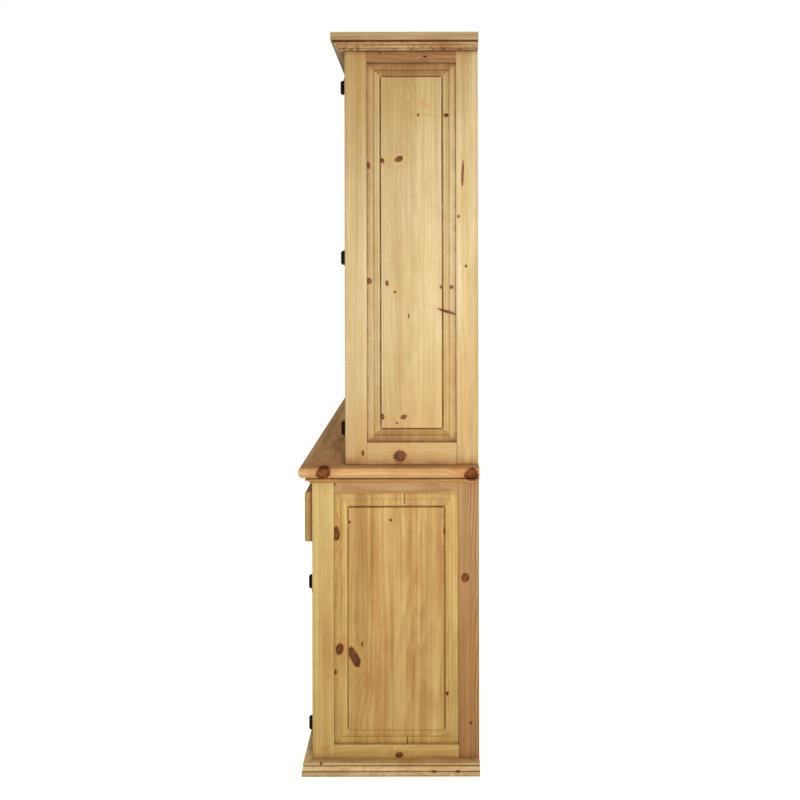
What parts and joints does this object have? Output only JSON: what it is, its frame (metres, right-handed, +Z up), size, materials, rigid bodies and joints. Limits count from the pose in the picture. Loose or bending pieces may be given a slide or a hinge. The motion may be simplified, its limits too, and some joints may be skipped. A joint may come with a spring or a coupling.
{
  "type": "trastero cabinet",
  "caption": "Two-piece rustic pine dish cabinet: panelled sides, glazed doors above a moulded counter, overlay drawers and panelled doors below, black iron hinges.",
  "frame": {"origin": "on the floor, in the middle of the closed cabinet's footprint, knobs included", "axes": "+Z up, -Y to the front, +X to the right as seen from the front"},
  "size_m": [1.524, 0.5134, 2.032],
  "materials": {
    "pine_frame": "waxed knotty pine",
    "pine_panel": "waxed knotty pine",
    "pine_moulding": "waxed pine with dark glaze in the grooves",
    "pine_counter": "waxed knotty pine, rubbed at the edges",
    "pine_boards": "plain planed pine",
    "black_iron": "blackened forged iron",
    "clear_glass": "clear sheet glass"
  },
  "bodies": {
    "case": {"lower_corner_posts": "pine_frame", "lower_side_rails": "pine_frame", "lower_side_panel_left": "pine_panel", "lower_side_panel_right": "pine_panel", "lower_face_rails": "pine_frame", "lower_face_mullions": "pine_frame", "lower_floor_board": "pine_boards", "drawer_runners": "pine_boards", "lower_back_boards": "pine_boards", "counter_top": "pine_counter", "counter_moulding": "pine_moulding", "plinth_moulding": "pine_moulding", "upper_corner_posts": "pine_frame", "upper_side_rails": "pine_frame", "upper_side_panel_left": "pine_panel", "upper_side_panel_right": "pine_panel", "upper_face_rails": "pine_frame", "upper_face_mullions": "pine_frame", "upper_floor_board": "pine_boards", "upper_top_board": "pine_boards", "shelves": "pine_boards", "shelf_cleats": "pine_boards", "door_stops": "pine_boards", "upper_back_boards": "pine_boards", "cornice_moulding": "pine_moulding", "hinge_case_leaves": "black_iron", "hinge_pins": "black_iron"},
    "lower_door_left": {"lower_door_left_frame": "pine_frame", "lower_door_left_panel": "pine_panel", "lower_door_left_knob": "black_iron", "lower_door_left_hinge_leaves": "black_iron"},
    "upper_door_left": {"upper_door_left_frame": "pine_frame", "upper_door_left_glass": "clear_glass", "upper_door_left_knob": "black_iron", "upper_door_left_hinge_leaves": "black_iron"},
    "drawer_left": {"drawer_left_front": "pine_frame", "drawer_left_box": "pine_boards", "drawer_left_knob": "black_iron"},
    "lower_door_centre": {"lower_door_centre_frame": "pine_frame", "lower_door_centre_panel": "pine_panel", "lower_door_centre_knob": "black_iron", "lower_door_centre_hinge_leaves": "black_iron"},
    "upper_door_centre": {"upper_door_centre_frame": "pine_frame", "upper_door_centre_glass": "clear_glass", "upper_door_centre_knob": "black_iron", "upper_door_centre_hinge_leaves": "black_iron"},
    "drawer_centre": {"drawer_centre_front": "pine_frame", "drawer_centre_box": "pine_boards", "drawer_centre_knob": "black_iron"},
    "lower_door_right": {"lower_door_right_frame": "pine_frame", "lower_door_right_panel": "pine_panel", "lower_door_right_knob": "black_iron", "lower_door_right_hinge_leaves": "black_iron"},
    "upper_door_right": {"upper_door_right_frame": "pine_frame", "upper_door_right_glass": "clear_glass", "upper_door_right_knob": "black_iron", "upper_door_right_hinge_leaves": "black_iron"},
    "drawer_right": {"drawer_right_front": "pine_frame", "drawer_right_box": "pine_boards", "drawer_right_knob": "black_iron"}
  },
  "joints": [
    {"name": "lower_door_left_hinge", "type": "hinge", "parent": "case", "child": "lower_door_left", "pos_m": [-0.67875, -0.21175, 0.062], "axis": [0, 0, -1], "range_deg": [0, 110]},
    {"name": "lower_door_centre_hinge", "type": "hinge", "parent": "case", "child": "lower_door_centre", "pos_m": [-0.20642, -0.21175, 0.062], "axis": [0, 0, -1], "range_deg": [0, 100]},
    {"name": "lower_door_right_hinge", "type": "hinge", "parent": "case", "child": "lower_door_right", "pos_m": [0.67875, -0.21175, 0.062], "axis": [0, 0, 1], "range_deg": [0, 110]},
    {"name": "upper_door_left_hinge", "type": "hinge", "parent": "case", "child": "upper_door_left", "pos_m": [-0.65875, -0.12175, 0.884], "axis": [0, 0, -1], "range_deg": [0, 110]},
    {"name": "upper_door_centre_hinge", "type": "hinge", "parent": "case", "child": "upper_door_centre", "pos_m": [-0.20375, -0.12175, 0.884], "axis": [0, 0, -1], "range_deg": [0, 100]},
    {"name": "upper_door_right_hinge", "type": "hinge", "parent": "case", "child": "upper_door_right", "pos_m": [0.65875, -0.12175, 0.884], "axis": [0, 0, 1], "range_deg": [0, 110]},
    {"name": "drawer_left_slide", "type": "slide", "parent": "case", "child": "drawer_left", "axis": [0, -1, 0], "range_m": [0, 0.3]},
    {"name": "drawer_centre_slide", "type": "slide", "parent": "case", "child": "drawer_centre", "axis": [0, -1, 0], "range_m": [0, 0.3]},
    {"name": "drawer_right_slide", "type": "slide", "parent": "case", "child": "drawer_right", "axis": [0, -1, 0], "range_m": [0, 0.3]}
  ]
}
